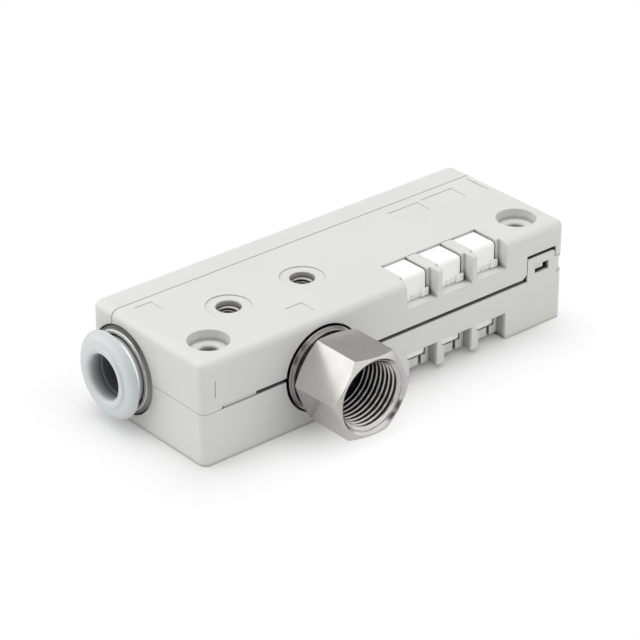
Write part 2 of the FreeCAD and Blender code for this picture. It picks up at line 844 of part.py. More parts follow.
# Ejector barrel: holds the fitting, the nozzle and the diffuser on one axis
def make_barrel():
    body = new_body("ejector_barrel", (left, supply_y, supply_z))
    start = size.supply_recess_depth
    outer = [
        (start, 0),
        (start, socket_diameter / 2),
        (size.socket_end, socket_diameter / 2),
        (size.socket_end, size.barrel_diameter / 2),
        (size.barrel_end, size.barrel_diameter / 2),
        (size.barrel_end, 0),
    ]
    turn(body, polygon(body, "Outside", "XZ", outer))
    boss_length = size.supply_from_front - size.boss_front
    centre = [(size.vacuum_from_end, vacuum_z - supply_z)]
    boss_spot = (0, size.boss_front - size.supply_from_front, 0)
    pad(body, circles(body, "Boss", "XZ", centre, size.boss_diameter, boss_spot), boss_length, away=-1)
    inner = [
        (0, 0),
        (0, socket_bore / 2),
        (size.socket_depth, socket_bore / 2),
        (size.socket_depth, size.tube_seat / 2),
        (size.tube_seat_end, size.tube_seat / 2),
        (size.tube_seat_end, size.nozzle_diameter / 2 + size.press_gap),
        (nozzle_land_end, size.nozzle_diameter / 2 + size.press_gap),
        (nozzle_land_end, size.suction_chamber / 2),
        (size.diffuser_start, size.suction_chamber / 2),
        (size.diffuser_start, size.diffuser_diameter / 2 + size.press_gap),
        (size.barrel_end + BEYOND, size.diffuser_diameter / 2 + size.press_gap),
        (size.barrel_end + BEYOND, 0),
    ]
    turn(body, polygon(body, "Inside", "XZ", inner), "Groove")
    spigot_bore = circles(body, "SpigotBore", "XZ", centre, size.adapter_spigot + size.press_gap * 2,
                          boss_spot)
    pocket(body, spigot_bore, size.adapter_spigot_end - size.boss_front + size.shell_gap)
    pocket(body, circles(body, "SuctionBore", "XZ", centre, size.adapter_bore, boss_spot), boss_length)
    return body


# Nozzle: turned brass, with its o-ring groove
def make_nozzle():
    body = new_body("nozzle", (left, supply_y, supply_z))
    start = size.tube_seat_end - size.nozzle_flange
    outer = size.nozzle_diameter / 2
    groove_bottom = outer + size.press_gap - size.ring_section + size.ring_squeeze
    groove_start = size.tube_seat_end + (nozzle_land_end - size.tube_seat_end
                                         - size.ring_groove_width) / 2
    outline = [
        (start, size.nozzle_inlet / 2),
        (start, size.tube_seat / 2 - size.shell_gap),
        (size.tube_seat_end, size.tube_seat / 2 - size.shell_gap),
        (size.tube_seat_end, outer),
        (groove_start, outer),
        (groove_start, groove_bottom),
        (groove_start + size.ring_groove_width, groove_bottom),
        (groove_start + size.ring_groove_width, outer),
        (nozzle_land_end, outer),
        (nozzle_land_end + size.nozzle_tip_length, size.nozzle_tip / 2),
        (nozzle_land_end + size.nozzle_tip_length, size.nozzle_exit / 2),
        (nozzle_land_end, size.nozzle_throat / 2),
        (groove_start - size.press_gap, size.nozzle_throat / 2 + size.press_gap),
    ]
    turn(body, polygon(body, "Profile", "XZ", outline))
    return body, groove_start


def make_ring(name, place, bore, axis_plane):
    """A round-section ring that fills its groove, turned about its own axis."""
    body = new_body(name, place)
    section = (size.ring_section - size.ring_squeeze) / 2 - size.press_gap
    sketch = circles(body, "Section", axis_plane, [(0, bore / 2 + section + size.press_gap)], section * 2)
    turn(body, sketch)
    return body


def make_diffuser():
    body = new_body("diffuser", (left, supply_y, supply_z))
    start = Formula.of(0) + size.diffuser_start
    end = start + size.diffuser_length
    outer = size.diffuser_diameter / 2
    groove_bottom = outer + size.press_gap - size.ring_section + size.ring_squeeze
    first = start + size.ring_groove_inset
    last = end - size.ring_groove_inset - size.ring_groove_width
    outline = [(start, size.diffuser_mouth / 2), (start, outer)]
    for groove in (first, last):
        outline += [
            (groove, outer),
            (groove, groove_bottom),
            (groove + size.ring_groove_width, groove_bottom),
            (groove + size.ring_groove_width, outer),
        ]
    throat = start + size.diffuser_mouth_length
    outline += [
        (end, outer),
        (end, size.diffuser_exit / 2),
        (throat + size.diffuser_throat_length, size.diffuser_throat / 2),
        (throat, size.diffuser_throat / 2),
    ]
    turn(body, polygon(body, "Profile", "XZ", outline))
    return body, first, last, groove_bottom


# Tube fitting: guide ring, release button, collet and seal
def make_guide_ring():
    body = new_body("tube_guide_ring", (left, supply_y, supply_z))
    lip_end = size.guide_lip_start + size.guide_lip_width
    outline = [
        (-size.guide_reach, size.guide_bore / 2),
        (-size.guide_reach, size.guide_diameter / 2),
        (size.supply_recess_depth, size.guide_diameter / 2),
        (size.supply_recess_depth, size.guide_sleeve / 2),
        (size.guide_length, size.guide_sleeve / 2),
        (size.guide_length, size.guide_slide_bore / 2),
        (lip_end, size.guide_slide_bore / 2),
        (lip_end, size.guide_lip_bore / 2),
        (size.guide_lip_start, size.guide_lip_bore / 2),
        (size.guide_lip_start, size.guide_bore / 2),
    ]
    turn(body, polygon(body, "Profile", "XZ", outline))
    dress(body, "Fillet", "Rim",
          lambda edge, middle, ends: close(middle.x, -size.guide_reach), size.guide_round)
    return body


def make_release_button():
    """Release button, snapped behind the lip of the guide ring."""
    body = new_body("tube_release_button", (left, supply_y, supply_z))
    face = -size.button_reach
    bead = face - size.button_bead_height
    back = face + size.button_thickness
    shoulder = size.guide_lip_start + size.guide_lip_width + size.shell_gap
    shoulder_end = size.guide_length - size.button_travel - size.button_stop_gap
    nose_end = shoulder_end + size.button_nose_length
    outline = [
        (bead, size.button_bore / 2),
        (bead, size.button_bead / 2),
        (face, size.button_bead / 2),
        (face, size.button_flange / 2),
        (back, size.button_flange / 2),
        (back, size.button_collar / 2),
        (size.button_collar_end, size.button_collar / 2),
        (size.button_collar_end, size.button_neck / 2),
        (shoulder, size.button_neck / 2),
        (shoulder, size.button_shoulder / 2),
        (shoulder_end, size.button_shoulder / 2),
        (shoulder_end, size.button_nose / 2),
        (nose_end, size.button_nose / 2),
        (nose_end, size.button_bore / 2),
    ]
    turn(body, polygon(body, "Profile", "XZ", outline))
    for name, plane, diameter, reach in (
            ("OuterLip", face, size.button_flange, size.button_lip_round),
            ("BackLip", back, size.button_flange, size.button_back_round),
            ("Mouth", bead, size.button_bore, size.button_mouth_round),
            ("Bead", bead, size.button_bead, size.bead_round)):
        dress(body, "Fillet", name,
              lambda edge, middle, ends: close(middle.x, plane) and is_round(edge, diameter), reach)
    return body


def make_collet():
    body = new_body("tube_collet", (left, supply_y, supply_z))
    start = Formula.of(0) + size.guide_length + size.press_gap
    outer = socket_bore / 2 - size.press_gap
    inner = outer - size.collet_base_width
    neck = start + size.collet_base
    tip = neck + size.collet_length - size.collet_base
    outline = [
        (start, inner),
        (start, outer),
        (neck, outer),
        (tip, size.collet_tip / 2 + size.collet_wall),
        (tip, size.collet_tip / 2),
        (neck, inner),
    ]
    turn(body, polygon(body, "Profile", "XZ", outline))
    slot = box_outline((neck, -size.collet_slot / 2), (tip + BEYOND, size.collet_slot / 2))
    cut = pocket(body, polygon(body, "Slot", "XY", slot), outer + BEYOND, away=1)
    repeat_round(body, cut, size.collet_slots, "X_Axis")
    return body


def make_tube_seal():
    body = new_body("tube_seal", (left, supply_y, supply_z))
    end = size.socket_depth - size.press_gap
    start = end - size.seal_length
    outer = socket_bore / 2 - size.press_gap
    outline = [
        (start, outer - size.seal_lip),
        (start, outer),
        (end, outer),
        (end, size.seal_bore / 2 + size.seal_lip),
        (start + size.seal_lip, size.seal_bore / 2 + size.seal_lip),
        (start, size.seal_bore / 2),
        (start - size.seal_lip_reach, size.seal_bore / 2),
        (start - size.seal_lip_reach, size.seal_bore / 2 + size.seal_lip_thickness),
        (start + size.seal_lip, outer - size.seal_lip),
    ]
    turn(body, polygon(body, "Profile", "XZ", outline))
    return body


# Vacuum adapter: hexagonal, turned and threaded, held by its collar between the shells
def make_vacuum_adapter():
    body = new_body("vacuum_adapter", (vacuum_x, front, vacuum_z))
    nose = -size.hex_front
    corner_reach = size.hex_flats / 2 / cosine(SIXTH_TURN / 2)
    hexagon = []
    for corner in range(6):
        angle = size.hex_turn + corner * SIXTH_TURN
        hexagon.append((corner_reach * cosine(angle), corner_reach * sine(angle)))
    sketch = polygon(body, "Hexagon", "XZ", hexagon, (0, nose, 0))
    pad(body, sketch, size.hex_front - size.hex_back, away=-1)
    # chamfers at both ends of the hexagon, cut by a cone that goes on past its corners
    face = size.hex_face / 2
    past = corner_reach * 2 - face
    for name, end, step in (("FrontChamfer", nose, size.hex_chamfer),
                            ("BackChamfer", -size.hex_back, -size.hex_chamfer)):
        outline = [
            (end, face),
            (end, past),
            (end + step * 2, past),
        ]
        turn(body, polygon(body, name, "YZ", outline), "Groove")
    web_end = size.vacuum_recess_depth + size.adapter_web + size.shell_gap
    collar_end = web_end + size.adapter_collar_width
    ring_middle = (size.boss_front + size.adapter_spigot_end) / 2
    groove_start = ring_middle - size.ring_groove_width / 2
    groove_bottom = size.adapter_spigot / 2 + size.press_gap - size.ring_section + size.ring_squeeze
    shank = [
        (-size.hex_back, 0),
        (-size.hex_back, size.adapter_groove / 2),
        (-size.adapter_step_front, size.adapter_groove / 2),
        (-size.adapter_step_front, size.adapter_step / 2),
        (-size.adapter_disc_front, size.adapter_step / 2),
        (-size.adapter_disc_front, size.adapter_disc / 2),
        (size.vacuum_recess_depth - size.shell_gap, size.adapter_disc / 2),
        (size.vacuum_recess_depth - size.shell_gap, size.adapter_neck / 2),
        (web_end, size.adapter_neck / 2),
        (web_end, size.adapter_collar / 2),
        (collar_end, size.adapter_collar / 2),
        (collar_end, size.adapter_spigot / 2),
        (groove_start, size.adapter_spigot / 2),
        (groove_start, groove_bottom),
        (groove_start + size.ring_groove_width, groove_bottom),
        (groove_start + size.ring_groove_width, size.adapter_spigot / 2),
        (size.adapter_spigot_end, size.adapter_spigot / 2),
        (size.adapter_spigot_end, 0),
    ]
    turn(body, polygon(body, "Shank", "YZ", shank))
    thread_end = nose + size.thread_depth
    bore = [
        (nose - BEYOND, 0),
        (nose - BEYOND, size.thread_mouth / 2),
        (nose, size.thread_mouth / 2),
        (nose + size.mouth_angle_depth, size.thread_major / 2),
        (thread_end, size.thread_major / 2),
        (thread_end + size.mouth_angle_depth, size.adapter_bore / 2),
        (size.adapter_spigot_end + BEYOND, size.adapter_bore / 2),
        (size.adapter_spigot_end + BEYOND, 0),
    ]
    turn(body, polygon(body, "Bore", "YZ", bore), "Groove")
    return body, ring_middle, groove_bottom


# Silencers, their clips and the threaded inserts
def make_silencer(number):
    body = new_body("silencer_%d" % number)
    low = pocket_left + size.silencer_side_gap + size.window_pitch * (number - 1)
    high = low + size.silencer_width
    face = front + size.window_depth
    outline = box_outline((low, face), (high, silencer_back))
    sketch = polygon(body, "Plan", "XY", outline, (0, 0, size.silencer_foot))
    pad(body, sketch, top - size.silencer_drop - size.silencer_foot)
    dress(body, "Fillet", "Rounded",
          lambda edge, middle, ends: level(ends, 1, face) and not upright(ends), size.silencer_round)
    dress(body, "Fillet", "Eased",
          lambda edge, middle, ends: (level(ends, 0, low) or level(ends, 0, high))
          and not close(middle.y, silencer_back), size.silencer_ease)
    return body


def make_clip(number):
    body = new_body("silencer_clip_%d" % number)
    low = clip_left() + size.window_pitch * (number - 1)
    outline = box_outline((low, window_floor),
                          (low + size.clip_width, window_floor + size.clip_height))
    sketch = polygon(body, "Outline", "XZ", outline, (0, front + size.window_depth, 0))
    pad(body, sketch, size.clip_thickness)
    dress(body, "Fillet", "Rounded",
          lambda edge, middle, ends: close(middle.y, front + size.window_depth - size.clip_thickness)
          and not close(middle.z, window_floor), size.clip_round)
    peg = low + (size.clip_width - size.clip_peg_width) / 2
    plan = box_outline((peg, front + size.window_depth - size.clip_thickness),
                       (peg + size.clip_peg_width, front + size.window_depth - size.shell_gap))
    pad(body, polygon(body, "Peg", "XY", plan, (0, 0, window_floor)), size.clip_peg_depth, away=-1)
    return body


def make_insert(number, centre):
    body = new_body("thread_insert_%d" % number, (centre[0], centre[1], insert_top))
    outer = size.insert_diameter / 2
    middle = size.insert_length / 2
    waist = outer - size.insert_groove_depth
    half = size.insert_groove_width / 2
    outline = [
        (0, size.insert_bore / 2),
        (0, outer),
        (middle - half, outer),
        (middle - half, waist),
        (middle + half, waist),
        (middle + half, outer),
        (size.insert_length, outer),
        (size.insert_length, size.insert_bore / 2),
    ]
    sketch = polygon(body, "Profile", "XZ", [(radius, -depth) for depth, radius in outline])
    turn(body, sketch, axis="V_Axis")
    return body


parts = [make_upper_body(), make_rear_cover(), make_lower_cover(), make_barrel()]

nozzle, nozzle_groove = make_nozzle()
parts.append(nozzle)
ring_half = size.ring_groove_width / 2
nozzle_bottom = size.nozzle_diameter / 2 + size.press_gap - size.ring_section + size.ring_squeeze
parts.append(make_ring("nozzle_o_ring", (left + nozzle_groove + ring_half, supply_y, supply_z),
                       nozzle_bottom * 2, "XZ"))

diffuser, first_groove, last_groove, diffuser_bottom = make_diffuser()
parts.append(diffuser)
for name, groove in (("diffuser_o_ring_inlet", first_groove), ("diffuser_o_ring_outlet", last_groove)):
    parts.append(make_ring(name, (left + groove + ring_half, supply_y, supply_z),
                           diffuser_bottom * 2, "XZ"))

parts += [make_guide_ring(), make_release_button(), make_collet(), make_tube_seal()]

adapter, adapter_ring, adapter_bottom = make_vacuum_adapter()
parts.append(adapter)
parts.append(make_ring("adapter_o_ring", (vacuum_x, front + adapter_ring, vacuum_z),
                       adapter_bottom * 2, "YZ"))

for number in range(1, int(size.window_count.number) + 1):
    parts.append(make_silencer(number))
    parts.append(make_clip(number))
for number, centre in enumerate(accessory_centres(), start=1):
    parts.append(make_insert(number, centre))

doc.recompute()
for thing in doc.Objects:
    if "Invalid" in thing.State or "Error" in thing.State:
        raise RuntimeError("%s failed: %s" % (thing.Label, thing.State))
for part in parts:
    if part.Shape.isNull() or not part.Shape.isValid() or len(part.Shape.Solids) != 1:
        raise RuntimeError("%s is not one valid solid" % part.Label)

os.makedirs("parts", exist_ok=True)
for part in parts:
    part.Shape.exportStep("parts/%s.step" % part.Label)
    box = part.Shape.BoundBox
    print("%-24s volume %9.1f  x %6.2f %6.2f  y %6.2f %6.2f  z %6.2f %6.2f" % (
        part.Label, part.Shape.Volume, box.XMin, box.XMax, box.YMin, box.YMax, box.ZMin, box.ZMax))
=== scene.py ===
import json
import math

import bmesh
import bpy
from mathutils import Matrix, Vector


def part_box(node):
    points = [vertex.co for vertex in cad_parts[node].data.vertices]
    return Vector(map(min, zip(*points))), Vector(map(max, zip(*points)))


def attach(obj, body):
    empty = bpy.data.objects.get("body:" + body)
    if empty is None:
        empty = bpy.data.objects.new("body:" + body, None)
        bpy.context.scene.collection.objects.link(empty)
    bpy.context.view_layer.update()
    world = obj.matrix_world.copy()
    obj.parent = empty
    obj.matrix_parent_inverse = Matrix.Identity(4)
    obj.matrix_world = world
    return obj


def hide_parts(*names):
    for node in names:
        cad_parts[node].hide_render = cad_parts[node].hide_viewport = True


# Looks of a box-type vacuum ejector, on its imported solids. Metres, in the part's own frame.
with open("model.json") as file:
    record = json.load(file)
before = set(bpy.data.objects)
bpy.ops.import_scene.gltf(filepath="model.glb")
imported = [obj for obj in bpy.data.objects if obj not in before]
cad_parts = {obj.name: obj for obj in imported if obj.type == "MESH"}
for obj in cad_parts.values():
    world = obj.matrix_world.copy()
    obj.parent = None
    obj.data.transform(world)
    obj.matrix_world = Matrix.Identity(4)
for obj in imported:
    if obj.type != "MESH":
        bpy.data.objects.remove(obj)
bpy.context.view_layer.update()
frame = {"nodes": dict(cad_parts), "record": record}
nodes = frame["nodes"]
mounts = {mount["name"]: mount for mount in frame["record"]["mounts"]}

MM = 0.001
HOUSING_BODY = "housing"
BUTTON_BODY = "release_button"
WHITE = (1.0, 1.0, 1.0, 1.0)


def mount_axis(name):
    """The point of a mount's axis that is nearest to the origin."""
    place = Vector(mounts[name]["pos_m"])
    axis = Vector(mounts[name]["axis"])
    return place - axis * place.dot(axis)


# Places that come from the frame: axes, middles between holes, flat faces, and the planes between
# the mouldings
VACUUM_AXIS = mount_axis("vacuum_port")
SUPPLY_AXIS = mount_axis("supply_port")
INSERT_CENTRES = [mount_axis("accessory_thread_%d" % number) for number in (1, 2)]
ENTRY_MIDDLE = (INSERT_CENTRES[0] + INSERT_CENTRES[1]) / 2
ENTRY_HALF = (INSERT_CENTRES[1] - INSERT_CENTRES[0]).x / 2
MOUNT_MIDDLE = mount_axis("mounting_holes")
MOUNT_HALF = mounts["mounting_holes"]["dims"]["spacing_x_mm"] / 2 * MM
BODY_LOW, BODY_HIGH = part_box("upper_body")
FRONT = BODY_LOW.y
TOP = BODY_HIGH.z
PARTING = BODY_LOW.z
SEAM = BODY_HIGH.y
VACUUM_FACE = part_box("vacuum_adapter")[0].y
INSERT_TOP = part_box("thread_insert_1")[1].z
SILENCER_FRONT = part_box("silencer_1")[0].y

# Places on the front of the housing: where the parting line round the left corner ends, the latch's
# opening, the floor of the windows, and the corner right of which and below which the slots are
CORNER_LINE_END = -48.3 * MM
LATCH_MIDDLE = Vector((45.4 * MM, FRONT, 16.2 * MM))
LATCH_HALF = 4.0 * MM
WINDOW_FLOOR = 18.4 * MM
SLOT_CORNER = Vector((3.0 * MM, FRONT, 7.0 * MM))

# Shade in the holes of the housing: its radius, its lowest place, the depths between which it falls,
# and its level
MOUNT_SHADE_RADIUS = 2.6 * MM
MOUNT_SHADE_FLOOR = 0.3 * MM
MOUNT_SHADE_DEPTHS = (2.4 * MM, 4.2 * MM)
MOUNT_SHADE = 0.22
ENTRY_SHADE_RADIUS = 3.4 * MM
ENTRY_SHADE_FLOOR = TOP - 3.4 * MM
ENTRY_SHADE_DEPTHS = (0.2 * MM, 0.7 * MM)
ENTRY_SHADE = 0.62
LATCH_SHADE_DEPTHS = (0.15 * MM, 1.3 * MM)
LATCH_SHADE = 0.08

# Shade on the walls of the slots that face left: the depths between which it grows, what it takes
# away, and the X that a wall's normal stays below
SLOT_SHADE_DEPTHS = (0.1 * MM, 1.2 * MM)
SLOT_SHADE_LOSS = 0.5
SLOT_WALL_FACING = -0.7

# Fine lines between the mouldings: half their width, where they have faded out, and their level
PARTING_LINE = (0.05 * MM, 0.11 * MM)
PARTING_LEVEL = 0.45
SEAM_LINE = (0.09 * MM, 0.2 * MM)
SEAM_LEVEL = 0.5

# Painted shade in the release button's bore, a painted highlight ring in it, and painted light on the
# rim's face with painted shade on its outside
BORE_SHADE_RADIUS = 5.7 * MM
BORE_SHADE_ENDS = (-58.3 * MM, -55.2 * MM)
BORE_SHADE = 0.2
BORE_HIGHLIGHT_X = -54.9 * MM
BORE_HIGHLIGHT_LINE = (0.1 * MM, 0.35 * MM)
BORE_HIGHLIGHT_GAIN = 2.6
RIM_RADIUS = 7.0 * MM
RIM_ENDS = (-58.1 * MM, -57.3 * MM)
RIM_LIGHT_AND_SHADE = (1.03, 0.9)

# Painted shade in the vacuum port's thread, and painted highlight stripes and shade on the collar
# behind the hexagon
PORT_SHADE_RADIUS = 8.6 * MM
PORT_SHADE_ENDS = (-33.0 * MM, -24.0 * MM)
PORT_SHADE = 0.45
COLLAR_START = -21.9 * MM
STRIPE_Y = -21.55 * MM
STRIPE_PITCH = 0.65 * MM
STRIPE_LINE = (0.08 * MM, 0.2 * MM)
STRIPE_LIGHT_AND_SHADE = (1.35, 0.75)

# Shade on the bevel round the guide ring, more of it towards the top, and in the ring's mouth
BEVEL_LOSSES = (0.6, 0.86)
BEVEL_RISE = 8.0 * MM
BEVEL_RADII = (9.4 * MM, 9.7 * MM)
MOUTH_SHADE = 0.12
MOUTH_RADII = (8.5 * MM, 8.95 * MM)

# Threads: outer and inner radius, pitch, length, and radius of the mouth
PIPE_MAJOR = 8.32 * MM
PIPE_MINOR = 7.46 * MM
PIPE_PITCH = 1.337 * MM
PIPE_LENGTH = 11.6 * MM
PIPE_MOUTH = 8.28 * MM
SMALL_MAJOR = 2.49 * MM
SMALL_MINOR = 2.08 * MM
SMALL_PITCH = 0.8 * MM
SMALL_LENGTH = 4.45 * MM
SMALL_MOUTH = 2.5 * MM

# How deep each thread starts, its steps round a turn and along a pitch, and its thinnest wall
PIPE_START = 0.62 * MM
PIPE_STEPS = (160, 14)
SMALL_START = 0.02 * MM
SMALL_STEPS = (72, 12)
THREAD_SKIN = 0.002 * MM

# Camera, from the fit of the photograph
LENS = 159.14
SENSOR = 36.0
AZIMUTH = math.radians(-40.2)
ELEVATION = math.radians(28.61)
TARGET = Vector((0.0, -0.08, 12.48)) * MM
DISTANCE = 638.97 * MM
SIDEWAYS = -3.35 * MM
UPWARDS = -2.82 * MM
NEAREST = 0.01
FARTHEST = 20.0

# Grain and height of the fine textures
FLOW_CLOUDS = 22.0 * MM
GLOSS_PATCHES = 3.0 * MM
SPARK_GRAIN = 0.16 * MM
SPARK_HEIGHT = 0.004 * MM
PORE_SIZE = 0.34 * MM
PORE_HEIGHT = 0.03 * MM
PORE_GRAIN = 0.12 * MM
WAVE_SIZE = 1.1 * MM
WAVE_HEIGHT = 0.03 * MM
TOOL_LINES = 0.11 * MM
TOOL_LINE_HEIGHT = 0.0016 * MM
METAL_CLOUDS = 4.0 * MM
BLOOM_SIZE = 1.5 * MM
RUBBER_GRAIN = 0.2 * MM
RUBBER_HEIGHT = 0.006 * MM

# The part of a noise's range that a surface uses, and how far roughness strays down and up
FLOW_RANGE = (0.35, 0.65)
NOISE_RANGE = (0.3, 0.7)
PLASTIC_STRAY = (0.04, 0.05)
METAL_STRAY = (0.05, 0.08)

# Lowest and highest roughness, how much the finest grain of the silencers counts, and the
# distances from its middle over which one of their cells darkens
SILENCER_ROUGHNESS = (0.78, 0.92)
CLIP_ROUGHNESS = (0.08, 0.18)
RUBBER_ROUGHNESS = (0.6, 0.75)
FINE_GRAIN = 0.5
CELL_RANGE = (0.0, 0.7)

# Edges that the materials round, and how far and how strongly a painted highlight makes moulded edges
# paler
SILENCER_EDGE = 0.15 * MM
CLIP_EDGE = 0.2 * MM
METAL_EDGE = 0.12 * MM
EDGE_HIGHLIGHT_REACH = 1.2
EDGE_HIGHLIGHT_GAIN = 0.12
EDGE_HIGHLIGHT_RANGE = (0.86, 0.995)

# Shares of open sky at which a place counts as closed and as open, and how dark the painted gap shade
# makes plastic there
CLOSED_SHARE = 0.08
OPEN_SHARE = 0.75
PLASTIC_GAP_SHADE = 0.06


# Node trees
class Tree:
    """A short way to write the nodes of a material or of the world."""

    def __init__(self, owner):
        owner.use_nodes = True
        self.owner = owner
        self.nodes = owner.node_tree.nodes
        self.links = owner.node_tree.links

    def add(self, kind, **values):
        """A new node with these settings."""
        node = self.nodes.new("ShaderNode" + kind)
        for key, value in values.items():
            setattr(node, key, value)
        return node

    def feed(self, socket, value):
        """Links another node's output to a socket, or gives the socket a value."""
        if isinstance(value, bpy.types.NodeSocket):
            self.links.new(value, socket)
        else:
            socket.default_value = value

    def place(self, offset=(0.0, 0.0, 0.0)):
        """The piece's own coordinates, moved by an offset."""
        mapping = self.add("Mapping")
        self.feed(mapping.inputs["Vector"], self.add("TexCoord").outputs["Object"])
        self.feed(mapping.inputs["Location"], offset)
        return mapping.outputs["Vector"]

    def noise(self, grain, detail=2.0, vector=None, rough=0.5):
        """Noise whose grain is a length in metres."""
        node = self.add("TexNoise")
        self.feed(node.inputs["Vector"], vector or self.place())
        self.feed(node.inputs["Scale"], 1.0 / grain)
        self.feed(node.inputs["Detail"], detail)
        self.feed(node.inputs["Roughness"], rough)
        return node.outputs["Fac"]

    def math(self, operation, first, second=0.0):
        """What an operation makes of one or two values."""
        node = self.add("Math", operation=operation)
        self.feed(node.inputs[0], first)
        self.feed(node.inputs[1], second)
        return node.outputs[0]

    def product(self, first, *others):
        """All these values multiplied."""
        for value in others:
            first = self.math("MULTIPLY", first, value)
        return first

    def remaining(self, loss):
        """What a loss leaves of 1."""
        return self.math("SUBTRACT", 1.0, loss)

    def span(self, value, low, high, from_low=0.0, from_high=1.0):
        """A value carried over from one range to another."""
        node = self.add("MapRange")
        self.feed(node.inputs["Value"], value)
        self.feed(node.inputs["From Min"], from_low)
        self.feed(node.inputs["From Max"], from_high)
        self.feed(node.inputs["To Min"], low)
        self.feed(node.inputs["To Max"], high)
        return node.outputs["Result"]

    def tint(self, factor, first, second):
        """A colour that goes from the first to the second as a factor goes from 0 to 1."""
        node = self.add("Mix", data_type="RGBA")
        self.feed(node.inputs["Factor"], factor)
        self.feed(node.inputs["A"], (*first, 1.0))
        self.feed(node.inputs["B"], (*second, 1.0))
        return node.outputs["Result"]

    def vary(self, noise, middle, stray):
        """A value that noise moves below and above its middle."""
        below, above = stray
        return self.span(noise, middle - below, middle + above, *NOISE_RANGE)

    def painted_gap_shade(self, distance, low):
        """Painted shade: 1 on open faces, falling to low deep inside gaps and holes."""
        node = self.add("AmbientOcclusion", samples=8)
        self.feed(node.inputs["Distance"], distance)
        return self.span(node.outputs["AO"], low, 1.0, CLOSED_SHARE, OPEN_SHARE)

    def split(self, centre):
        """The three coordinates, counted from a centre."""
        node = self.add("SeparateXYZ")
        self.feed(node.inputs["Vector"], self.place(offset=(-centre.x, -centre.y, -centre.z)))
        return node.outputs

    def length(self, first, second):
        """Length of a vector with these two coordinates."""
        squares = [self.math("MULTIPLY", value, value) for value in (first, second)]
        return self.math("SQRT", self.math("ADD", *squares))

    def hollow(self, inside, along, ends, low):
        """1 outside a hollow, falling to low between its two ends, where less light reaches."""
        loss = self.remaining(self.span(along, 1.0, low, *ends))
        return self.remaining(self.product(inside, loss))

    def shade(self, factor, colour):
        """A colour made darker by a factor."""
        node = self.add("Mix", data_type="RGBA", blend_type="MULTIPLY")
        self.feed(node.inputs["Factor"], 1.0)
        self.feed(node.inputs["A"], colour)
        self.feed(node.inputs["B"], factor)
        return node.outputs["Result"]

    def soft_edges(self, radius):
        """A normal that rounds the sharp edges by a small radius."""
        node = self.add("Bevel", samples=6)
        self.feed(node.inputs["Radius"], radius)
        return node.outputs["Normal"]

    def painted_edge_highlight(self, radius, gain):
        """Painted highlight: 1 on faces, rising to 1 + gain along their edges."""
        product = self.add("VectorMath", operation="DOT_PRODUCT")
        self.feed(product.inputs[0], self.soft_edges(radius))
        self.feed(product.inputs[1], self.add("NewGeometry").outputs["Normal"])
        return self.span(product.outputs["Value"], 1.0 + gain, 1.0, *EDGE_HIGHLIGHT_RANGE)

    def bump(self, height, distance, normal=None):
        """A normal tilted by a height, whose full scale is a distance in metres."""
        node = self.add("Bump")
        self.feed(node.inputs["Strength"], 1.0)
        self.feed(node.inputs["Distance"], distance)
        self.feed(node.inputs["Height"], height)
        if normal is not None:
            self.feed(node.inputs["Normal"], normal)
        return node.outputs["Normal"]

    def seen(self, rays):
        """1 for what is looked at, also in a mirror or through clear plastic, and 0 for the rest."""
        mirrored = self.math("MAXIMUM", rays.outputs["Is Glossy Ray"],
                             rays.outputs["Is Transmission Ray"])
        return self.math("MAXIMUM", rays.outputs["Is Camera Ray"], mirrored)

    def show(self, shader):
        """Makes this shader the surface of the material."""
        self.feed(self.nodes["Material Output"].inputs["Surface"], shader)

    def finish(self, **values):
        """Sets inputs of the material's own shader, with _ for a space, and gives the material."""
        shader = self.nodes["Principled BSDF"]
        for key, value in values.items():
            self.feed(shader.inputs[key.replace("_", " ")], value)
        return self.owner


# Shade and fine lines that the materials add to the solids
def hole_pair_shade(tree, middle, half, radius, floor, depths, level):
    """Shade in two upright holes of the top, half to each side of a middle, down to a floor."""
    place = tree.split(middle)
    side = tree.math("SUBTRACT", tree.math("ABSOLUTE", place["X"]), half)
    inside = tree.math("LESS_THAN", tree.length(side, place["Y"]), radius)
    above = tree.math("GREATER_THAN", place["Z"], floor)
    ends = [TOP - depth for depth in depths]
    return tree.hollow(tree.product(inside, above), place["Z"], ends, level)


def moulding_lines(tree):
    """The seam of the rear cover, and the parting line where it goes round the left corner."""
    place = tree.split(Vector())
    behind = tree.math("ABSOLUTE", tree.math("SUBTRACT", place["Y"], SEAM))
    seam = tree.span(behind, SEAM_LEVEL, 1.0, *SEAM_LINE)
    height = tree.math("ABSOLUTE", tree.math("SUBTRACT", place["Z"], PARTING))
    line = tree.span(height, PARTING_LEVEL, 1.0, *PARTING_LINE)
    beyond = tree.math("GREATER_THAN", place["X"], CORNER_LINE_END)
    return tree.product(seam, tree.math("MAXIMUM", line, beyond))


def latch_shade(tree):
    """Shade in the catch opening of the latch, no deeper than half the opening's width."""
    place = tree.split(LATCH_MIDDLE)
    across = tree.math("MAXIMUM", tree.math("ABSOLUTE", place["X"]), tree.math("ABSOLUTE", place["Z"]))
    inside = tree.math("LESS_THAN", tree.math("MAXIMUM", across, place["Y"]), LATCH_HALF)
    return tree.hollow(inside, place["Y"], LATCH_SHADE_DEPTHS, LATCH_SHADE)


def slot_shade(tree):
    """Shade on the walls of the exhaust slots that face left."""
    place = tree.split(SLOT_CORNER)
    facing = tree.add("SeparateXYZ")
    tree.feed(facing.inputs["Vector"], tree.add("NewGeometry").outputs["Normal"])
    walls = tree.product(tree.math("LESS_THAN", facing.outputs["X"], SLOT_WALL_FACING),
                         tree.math("LESS_THAN", place["Z"], 0.0),
                         tree.math("GREATER_THAN", place["X"], 0.0))
    loss = tree.span(place["Y"], 0.0, SLOT_SHADE_LOSS, *SLOT_SHADE_DEPTHS)
    return tree.remaining(tree.product(walls, loss))


